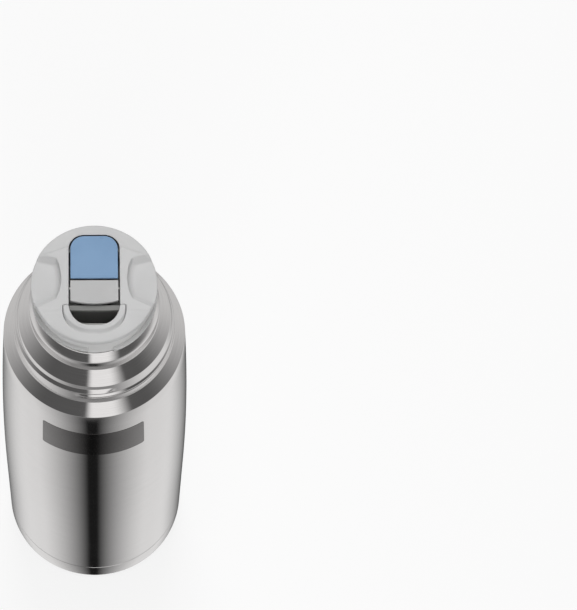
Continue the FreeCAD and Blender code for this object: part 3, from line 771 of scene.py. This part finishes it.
# %% [markdown]
# ## The crown of the top
# The top isn't quite flat. It falls away to the rim all round, dips in front of the pouring lip, and breaks
# along a slanting line behind each grip hollow. Such slight forms are quickest to shape
# like clay: each point of the top is lowered by an amount that grows smoothly with its place.

# %% The crown of the top
CREASE = (11.4, 15.3)
CREASE_NORMAL = (0.341, 0.94)
CREASE_FALL = 0.5
CREASE_WIDTH = 0.9
RIM_FALL = 0.45
RIM_FALL_ZONE = (18.0, 27.0)
BREAK_FALL = 0.3
BREAK_ZONE = (11.4, 12.8)
FRONT_FALL = 0.6
FRONT_ZONE = (12.8, 16.5)
SKIN_ZONE = (HEAD_BOTTOM + 2.2, HEAD_TOP - 1.0)


def ease(value, start, end):
    """Goes smoothly from 0 at the start to 1 at the end."""
    share = min(1.0, max(0.0, (value - start) / (end - start)))
    return share * share * (3 - 2 * share)


deepest = 0.0
for vertex in stopper_top.data.vertices:
    x, y, z = vertex.co / MM
    behind = (abs(x) - CREASE[0]) * CREASE_NORMAL[0] + (y - CREASE[1]) * CREASE_NORMAL[1]
    fall = CREASE_FALL * ease(behind, 0.0, CREASE_WIDTH)
    fall += RIM_FALL * ease(math.hypot(x, y), *RIM_FALL_ZONE)
    fall += BREAK_FALL * ease(-y, *BREAK_ZONE) + FRONT_FALL * ease(-y, *FRONT_ZONE)
    fall *= ease(z, *SKIN_ZONE)
    vertex.co.z -= fall * MM
    deepest = max(deepest, fall)
print("the top falls by up to", round(deepest, 2), "mm")
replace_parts(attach(stopper_top, "stopper"), "stopper_head")

# %% [markdown]
# ## The pouring lip and the duct
# A U-shaped lip sits in the front of the channel and sheds the last drop. Behind it the dark duct
# goes down to the valve. Both are blocks with rounded front corners and a smaller block taken out of them.
# The lip then flares at its mouth and falls away outwards, which is shaped point by point like the crown.

# %% The lip's block
LIP_TOP = 285.8
LIP_EDGE = 0.5
LIP_CORNER_STEPS = 20
MOUTH_ROUND = 8.6
lip_back = DUCT_BACK - LIP_GAP
pouring_lip = add_block("pouring_lip", LIP_HALF, LIP_FRONT, lip_back, LIP_BOTTOM, LIP_TOP)
round_uprights(pouring_lip, LIP_FRONT, LIP_FRONT_ROUND, LIP_CORNER_STEPS)
lip_mouth = add_block(
    "lip_mouth",
    CHANNEL_HALF,
    CHANNEL_FRONT,
    lip_back + CUT_MARGIN,
    LIP_BOTTOM - CUT_MARGIN,
    LIP_TOP + CUT_MARGIN,
)
round_uprights(lip_mouth, CHANNEL_FRONT, MOUTH_ROUND, LIP_CORNER_STEPS)
combine(pouring_lip, "DIFFERENCE", lip_mouth)
bevel_sharp_edges(pouring_lip, LIP_EDGE, segments=4)
soften(pouring_lip, grain_size=0.25, rounds=2)

# %% The lip's flare and fall
MOUTH_FLARE = 0.8
LIP_TILT = 0.2
TILT_ZONE = (0.6, 2.2)
LIP_FALL = 1.4
FALL_ZONE = (2.2, 3.7)
TINY = 1e-6
for vertex in pouring_lip.data.vertices:
    x, y, z = vertex.co / MM
    side = max(0.0, abs(x) - CHANNEL_HALF + MOUTH_ROUND)
    ahead = max(0.0, CHANNEL_FRONT + MOUTH_ROUND - y)
    outward = math.hypot(side, ahead) - MOUTH_ROUND
    facing = ahead / max(TINY, math.hypot(side, ahead))
    raised = max(0.0, (z - LIP_BOTTOM) / (LIP_TOP - LIP_BOTTOM))
    tilted = ease(outward, *TILT_ZONE)
    fallen = ease(outward, *FALL_ZONE)
    vertex.co.y -= MOUTH_FLARE * facing * raised * (1 - tilted) * MM
    vertex.co.z -= raised * (LIP_TILT * tilted + LIP_FALL * fallen) * MM
tidy_mesh(pouring_lip)
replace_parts(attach(pouring_lip, "stopper"), "spout_lip")

# %% The pouring duct
DUCT_HALF = 10.25
DUCT_FRONT = -17.85
DUCT_BOTTOM = 265.0
DUCT_TOP = 283.0
DUCT_WALL = 0.8
DUCT_BACK_WALL = 1.3
DUCT_FRONT_ROUND = 6.4
DUCT_CORNER_STEPS = 16
DUCT_EDGE = 0.25
DUCT_BAR_WIDTH = 2.0
DUCT_BAR_TOP = 284.2
DUCT_BAR_ROOT = 0.5
duct = add_block("pouring_duct", DUCT_HALF, DUCT_FRONT, DUCT_BACK, DUCT_BOTTOM, DUCT_TOP)
round_uprights(duct, DUCT_FRONT, DUCT_FRONT_ROUND, DUCT_CORNER_STEPS)
passage_front = DUCT_FRONT + DUCT_WALL
passage = add_block(
    "passage",
    DUCT_HALF - DUCT_WALL,
    passage_front,
    DUCT_BACK - DUCT_BACK_WALL,
    DUCT_BOTTOM - CUT_MARGIN,
    DUCT_TOP + CUT_MARGIN,
)
round_uprights(passage, passage_front, DUCT_FRONT_ROUND - DUCT_WALL, DUCT_CORNER_STEPS)
combine(duct, "DIFFERENCE", passage)
bar_front = DUCT_BACK - DUCT_BAR_WIDTH
bar = add_block("bar", DUCT_HALF, bar_front, DUCT_BACK, DUCT_TOP - DUCT_BAR_ROOT, DUCT_BAR_TOP)
combine(duct, "UNION", bar)
bevel_sharp_edges(duct, DUCT_EDGE, segments=3)
tidy_mesh(duct)
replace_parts(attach(duct, "stopper"), "spout_liner")

# %% [markdown]
# ## The push button
# Pressing the blue cap opens the valve. Its back corners follow the channel, and its top is dished a little.
# A sphere could cut the dish. Insetting the top face again and again, each time a bit lower, keeps the
# faces even and follows the cap's own outline.

# %% The push button
BUTTON_HALF = 9.7
BUTTON_FRONT = 1.85
BUTTON_BACK = 20.6
BUTTON_BOTTOM = 283.8
BUTTON_BACK_ROUND = 5.7
BUTTON_EDGE = 0.4
DISH_BORDER = 0.7
DISH_RING = 0.9
DISH_DROPS = (0.07, 0.11, 0.09, 0.05)
button = add_block("blue_button", BUTTON_HALF, BUTTON_FRONT, BUTTON_BACK, BUTTON_BOTTOM, HEAD_TOP)
round_uprights(button, BUTTON_BACK, BUTTON_BACK_ROUND, segments=14)
take_up(button)
bpy.ops.object.mode_set(mode="EDIT")
pick(button, "faces", lambda points: all(abs(point.z - HEAD_TOP) < NEAR for point in points))
bpy.ops.mesh.inset(thickness=DISH_BORDER * MM, depth=0.0, use_even_offset=True)
for drop in DISH_DROPS:
    bpy.ops.mesh.inset(thickness=DISH_RING * MM, depth=-drop * MM, use_even_offset=True)
bpy.ops.object.mode_set(mode="OBJECT")
bevel_sharp_edges(button, BUTTON_EDGE, segments=4)
tidy_mesh(button)
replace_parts(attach(button, "button"), "push_button")

# %% [markdown]
# ## The tab
# The grey tab in front of the button turns on a pin to let the stopper shut. Its front edge is bowed
# and lifted so that it can be pulled up. A block is divided across its width, and the front points are
# moved back along the bow and up at the lip. A hub under it, with a bore, sits on the pin.

# %% The tab's plate
TAB_FRONT = -9.3
TAB_REAR = 1.0
TAB_TOP = 285.2
TAB_THICKNESS = 1.5
TAB_BOW = 1.5
TAB_LIP_LENGTH = 1.3
TAB_LIP_RISE = 0.5
TAB_CUTS = 31
TAB_EDGE = 0.3
bow_radius = (BUTTON_HALF ** 2 + TAB_BOW ** 2) / (2 * TAB_BOW)
tab_underside = TAB_TOP - TAB_THICKNESS
tab = add_block("grey_tab", BUTTON_HALF, TAB_FRONT, TAB_REAR, tab_underside, TAB_TOP)
bpy.ops.object.mode_set(mode="EDIT")
pick(tab, "edges", lambda ends: abs(ends[0].x - ends[1].x) > NEAR)
bpy.ops.mesh.subdivide(number_cuts=TAB_CUTS)
for share in (1.0, 0.5):
    crease_y = TAB_FRONT + TAB_LIP_LENGTH * share
    bpy.ops.mesh.select_all(action="SELECT")
    bpy.ops.mesh.bisect(plane_co=(0, crease_y * MM, 0), plane_no=(0, 1, 0))
tab_mesh = bmesh.from_edit_mesh(tab.data)
for vertex in tab_mesh.verts:
    x, y = vertex.co.x / MM, vertex.co.y / MM
    bowed_front = TAB_FRONT + bow_radius - math.sqrt(bow_radius ** 2 - x ** 2)
    y = max(y, bowed_front)
    lifted = max(0.0, TAB_FRONT + TAB_LIP_LENGTH - y) / TAB_LIP_LENGTH
    vertex.co.y = y * MM
    vertex.co.z += TAB_LIP_RISE * lifted * MM
bmesh.update_edit_mesh(tab.data)
tidy_mesh(tab)
bevel_sharp_edges(tab, TAB_EDGE, segments=3)

# %% The tab's hub on its pin
HUB_HALF = 9.5
HUB_RADIUS = 1.6
HUB_SIDES = 40
BORE_RADIUS = 0.85
BORE_SIDES = 32
PIN_Y = -1.2
PIN_Z = 281.5


def add_rod(radius, half_length, sides):
    """A round rod across the stopper, on the pin's axis."""
    fresh_start()
    bpy.ops.mesh.primitive_cylinder_add(
        vertices=sides,
        radius=radius * MM,
        depth=2 * half_length * MM,
        location=(0, PIN_Y * MM, PIN_Z * MM),
        rotation=(0, math.pi / 2, 0),
    )
    place_in_mesh()
    return bpy.context.object


hub = add_rod(HUB_RADIUS, HUB_HALF, HUB_SIDES)
web = add_block("web", HUB_HALF, PIN_Y - HUB_RADIUS, PIN_Y + HUB_RADIUS, PIN_Z, tab_underside)
combine(hub, "UNION", web)
combine(hub, "DIFFERENCE", add_rod(BORE_RADIUS, HUB_HALF + CUT_MARGIN, BORE_SIDES))
take_up(hub)
tab.select_set(True)
bpy.context.view_layer.objects.active = tab
bpy.ops.object.join()
tidy_mesh(tab)
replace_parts(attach(tab, "tab"), "release_tab")

# %% [markdown]
# ## The valve spring
# A wire spring under the button's block pushes the button up and keeps the valve shut. It could be a curve
# with a round bevel.

# %% The valve spring
WIRE_RADIUS = 0.45
WIRE_SIDES = 14
SPRING_TURNS = 4.5
SPRING_STEPS = 180
spring_low, spring_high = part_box("valve_spring")
spring_height = spring_high[2] - spring_low[2]
fresh_start()
bpy.ops.mesh.primitive_circle_add(
    vertices=WIRE_SIDES,
    radius=WIRE_RADIUS * MM,
    location=(spring_high[0] - WIRE_RADIUS * MM, 0, spring_low[2] + WIRE_RADIUS * MM),
    rotation=(math.radians(90), 0, 0),
)
spring = bpy.context.object
spring.name = "button_spring"
place_in_mesh()
apply_modifier(
    spring,
    "SCREW",
    angle=2 * math.pi * SPRING_TURNS,
    screw_offset=spring_height - 2 * WIRE_RADIUS * MM,
    steps=SPRING_STEPS,
    render_steps=SPRING_STEPS,
)
close_ends(spring)
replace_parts(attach(spring, "stopper"), "valve_spring")
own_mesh(spring)

# %% [markdown]
# ## The dark band
# A dark printed band curves round the front of the body near the shoulder, and it is plain. A flat plate with
# rounded corners is divided into narrow strips and then wrapped onto the wall point by point. Cutting it
# out of the body would also work, but then the body's smooth wall would carry the cut's edges.

# %% The flat band
BAND_HALF_ANGLE = 33.0
BAND_LOW = 186.7
BAND_HIGH = 211.0
BAND_CORNER = 1.2
BAND_STRIPS = 44
BAND_ROWS = 6
band_height = BAND_HIGH - BAND_LOW
band_middle = (BAND_LOW + BAND_HIGH) / 2
band_radius = body_radius_at(band_middle)
band_half_width = math.radians(BAND_HALF_ANGLE) * band_radius


def cut_across(place, normal):
    """In edit mode, divides every face along a plane."""
    bpy.ops.mesh.select_all(action="SELECT")
    bpy.ops.mesh.bisect(plane_co=place, plane_no=normal)


fresh_start()
bpy.ops.mesh.primitive_plane_add(size=1)
band = bpy.context.object
band.name = "dark_band"
band.scale = (2 * band_half_width * MM, band_height * MM, 1)
place_in_mesh()
bpy.ops.object.mode_set(mode="EDIT")
bpy.ops.mesh.select_all(action="SELECT")
bpy.ops.mesh.bevel(offset=BAND_CORNER * MM, affect="VERTICES", segments=5)
for strip in range(1, BAND_STRIPS):
    cut_across((band_half_width * (2 * strip / BAND_STRIPS - 1) * MM, 0, 0), (1, 0, 0))
for row in range(1, BAND_ROWS):
    cut_across((0, band_height * (row / BAND_ROWS - 0.5) * MM, 0), (0, 1, 0))
bpy.ops.object.mode_set(mode="OBJECT")
print("flat band:", len(band.data.polygons), "faces")

# %% Wrapping it onto the wall
BAND_LIFT = 0.03
BAND_TURN_DEG = -1.2
BAND_THICKNESS = 0.05
BAND_SMOOTH_ANGLE = math.radians(30)
for vertex in band.data.vertices:
    height = band_middle + vertex.co.y / MM
    turn = vertex.co.x / MM / band_radius + math.radians(BAND_TURN_DEG)
    radius = body_radius_at(height) + BAND_LIFT
    vertex.co = Vector((math.sin(turn) * radius, -math.cos(turn) * radius, height)) * MM
tidy_mesh(band)
apply_modifier(band, "SOLIDIFY", thickness=BAND_THICKNESS * MM, offset=1.0)
take_up(band)
bpy.ops.object.shade_smooth_by_angle(angle=BAND_SMOOTH_ANGLE)
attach(band, "flask")

# %% [markdown]
# ## Finishes that several pieces share
# Brushing, moulded grain and the marks of use turn up on more than one piece. Each is a node group that is
# built once and gives masks and heights only; every material then uses it with its own values.

# %% Helpers for shared finishes
def new_group(name, inputs):
    """A shader node group with number inputs and the outputs Tone and Height."""
    group = bpy.data.node_groups.new(name, "ShaderNodeTree")
    for label, value in inputs.items():
        socket = group.interface.new_socket(label, in_out="INPUT", socket_type="NodeSocketFloat")
        socket.default_value = value
    for label in ("Tone", "Height"):
        group.interface.new_socket(label, in_out="OUTPUT", socket_type="NodeSocketFloat")
    entry = group.nodes.new("NodeGroupInput")
    place = add_node(group, "ShaderNodeTexCoord").outputs["Object"]
    return group, entry.outputs, place


def noise(tree, vector, scale, detail, rough=0.5):
    """Noise at a scale, as a socket."""
    inputs = {"Vector": vector, "Scale": scale, "Detail": detail, "Roughness": rough}
    return add_node(tree, "ShaderNodeTexNoise", inputs).outputs["Fac"]


# %% Finishes that several pieces share
MIDDLE_TONES = (0.3, 0.7)
WORN_TONES = (-0.1, 0.15)
brushing, brush_in, place = new_group("brushed_lines", {"Fineness": 5000.0, "Length": 60.0})
stretches = {0: brush_in["Length"], 1: brush_in["Length"], 2: brush_in["Fineness"]}
stretch = add_node(brushing, "ShaderNodeCombineXYZ", stretches).outputs[0]
drawn = add_node(brushing, "ShaderNodeVectorMath", {0: place, 1: stretch}, operation="MULTIPLY")
lines = noise(brushing, drawn.outputs[0], scale=1.0, detail=2.0)
add_node(brushing, "NodeGroupOutput", {"Tone": ramp(brushing, lines, *MIDDLE_TONES), "Height": lines})

grain, grain_in, place = new_group("moulded_grain", {"Grain": 2500.0, "Cloud": 60.0})
fine = noise(grain, place, grain_in["Grain"], detail=2.0)
cloud = noise(grain, place, grain_in["Cloud"], detail=4.0)
add_node(grain, "NodeGroupOutput", {"Tone": ramp(grain, cloud, *MIDDLE_TONES), "Height": fine})

wear, wear_in, place = new_group("marks_of_use", {"Size": 35.0, "Cover": 0.55})
smear = noise(wear, place, wear_in["Size"], detail=6.0, rough=0.65)
worn = calculate(wear, "SUBTRACT", smear, wear_in["Cover"])
add_node(wear, "NodeGroupOutput", {"Tone": ramp(wear, worn, *WORN_TONES), "Height": smear})
print("shared finishes:", [group.name for group in bpy.data.node_groups])

# %% [markdown]
# ## One recipe for every finish
# Each finish has a dark and a light tone, a roughness that swings a little, and a fine relief. They could be
# set up one by one, but one recipe with its own values for each finish keeps them alike.

# %% One recipe for every finish
RELIEF_DEPTH = 0.05


def make_finish(name, dark, light, rough, swing, bump, group=grain, metallic=0.0, **values):
    """A finish whose colour, roughness and relief vary by a shared group and by marks of use."""
    material = bpy.data.materials.new(name)
    material.use_nodes = True
    tree = material.node_tree
    tree.nodes.clear()
    pattern = add_node(tree, "ShaderNodeGroup", values, node_tree=group).outputs
    marks = add_node(tree, "ShaderNodeGroup", node_tree=wear).outputs["Tone"]
    colour = blend(tree, "RGBA", pattern["Tone"], (*dark, 1), (*light, 1))
    smear = calculate(tree, "MULTIPLY", marks, swing)
    steady = ramp(tree, pattern["Tone"], 0, 1, rough - swing / 2, rough + swing / 2, smooth=False)
    roughness = calculate(tree, "ADD", smear, steady)
    heights = {"Strength": bump, "Distance": RELIEF_DEPTH * MM, "Height": pattern["Height"]}
    relief = add_node(tree, "ShaderNodeBump", heights).outputs[0]
    surface = {"Base Color": colour, "Roughness": roughness, "Normal": relief, "Metallic": metallic}
    shader = add_node(tree, "ShaderNodeBsdfPrincipled", surface)
    add_node(tree, "ShaderNodeOutputMaterial", {"Surface": shader.outputs[0]})
    return material


def dress(material, *pieces):
    """Gives a finish to pieces, or to CAD nodes by name."""
    for piece in pieces:
        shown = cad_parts[piece] if isinstance(piece, str) else piece
        shown.data.materials.clear()
        shown.data.materials.append(material)


# %% [markdown]
# ## The metals
# The flask is a slightly warm steel, brushed finely round the body, and the liner is a duller steel. The band
# is a dark metallic ink, so it keeps the reflections of the wall under it.

# %% The metals
steel = make_finish(
    "brushed_steel",
    dark=(0.65, 0.638, 0.635),
    light=(0.7, 0.688, 0.685),
    rough=0.09,
    swing=0.03,
    bump=0.08,
    group=brushing,
    metallic=1.0,
)
liner_steel = make_finish(
    "liner_steel",
    dark=(0.5, 0.5, 0.49),
    light=(0.6, 0.6, 0.58),
    rough=0.28,
    swing=0.08,
    bump=0.1,
    group=brushing,
    metallic=1.0,
    Fineness=3000.0,
)
band_ink = make_finish(
    "band_ink",
    dark=(0.11, 0.104, 0.103),
    light=(0.13, 0.124, 0.122),
    rough=0.16,
    swing=0.04,
    bump=0.05,
    metallic=1.0,
)
dress(steel, steel_body, steel_base)
dress(liner_steel, "inner_vessel", "getter", "vacuum_seal", "valve_stem", "stem_clip", spring, "tab_pin")
dress(band_ink, band)
print("metals:", steel.name, liner_steel.name, band_ink.name)

# %% [markdown]
# ## The plastics and the rubber
# The stopper is light grey plastic with a fine grain, its skirt a little lighter and its tab a little darker.
# The button is pale blue and the duct is dark grey with a darker bar. The channel's walls are painted nearly
# black, as painted shade for the dark gap round the button and the tab.
# The seals are soft silicone, which is duller and has a coarser grain.

# %% The plastics and the rubber
def moulding(name, dark, light, rough=0.38, swing=0.06, bump=0.12, **values):
    """A finish for moulded plastic or rubber."""
    return make_finish(name, dark, light, rough, swing, bump, **values)


grey = moulding("grey_moulding", (0.545, 0.545, 0.545), (0.575, 0.575, 0.575))
skirt_grey = moulding("skirt_moulding", (0.66, 0.66, 0.655), (0.69, 0.69, 0.685))
tab_grey = moulding("tab_moulding", (0.46, 0.46, 0.46), (0.49, 0.49, 0.49), rough=0.36)
blue = moulding("blue_moulding", (0.18, 0.3, 0.47), (0.2, 0.325, 0.5), rough=0.3, bump=0.08)
painted_gap_shade = moulding("channel_shade_paint", (0.012, 0.013, 0.015), (0.02, 0.021, 0.024), 0.35, 0.08, 0.1)
duct_dark = moulding("duct_moulding", (0.3, 0.3, 0.29), (0.34, 0.34, 0.33), 0.35, 0.08, 0.1)
bar_grey = moulding("bar_moulding", (0.17, 0.17, 0.165), (0.2, 0.2, 0.195), 0.35, 0.06, 0.1)
core_white = moulding("core_moulding", (0.5, 0.5, 0.49), (0.55, 0.55, 0.54), rough=0.42)
silicone = moulding("silicone", (0.55, 0.54, 0.5), (0.6, 0.59, 0.55), 0.55, 0.08, 0.1, Grain=1500.0)
dress(grey, stopper_top, pouring_lip)
dress(skirt_grey, skirt)
dress(tab_grey, tab)
dress(blue, button)
dress(duct_dark, duct)
dress(core_white, "stopper_core", "stem_guide", "button_carrier", "valve_plate")
dress(silicone, "neck_gasket", "stem_seal", "valve_seal")
print("finishes:", [material.name for material in bpy.data.materials if material.users])

# %% The duct's bar, and painted shade on the channel's walls
BAR_CLEARANCE = 0.3
WALL_MARGIN = 0.3
WALL_TOP = HEAD_TOP - 0.45
UPRIGHT_LIMIT = 0.6
duct.data.materials.append(bar_grey)
for face in duct.data.polygons:
    face.material_index = int(face.center.z > (DUCT_TOP + BAR_CLEARANCE) * MM)
# The steep walls of the channel under the top get a nearly black finish: painted shade that stands for the
# dark gap round the button and the tab.
stopper_top.data.materials.append(painted_gap_shade)
for face in stopper_top.data.polygons:
    x, y, z = face.center / MM
    in_width = abs(x) < CHANNEL_HALF + WALL_MARGIN
    in_length = DUCT_BACK < y < CHANNEL_BACK + WALL_MARGIN
    is_wall = face.normal.z < UPRIGHT_LIMIT and z < WALL_TOP
    face.material_index = int(in_width and in_length and is_wall)
print("dark faces of the channel:", sum(face.material_index for face in stopper_top.data.polygons))
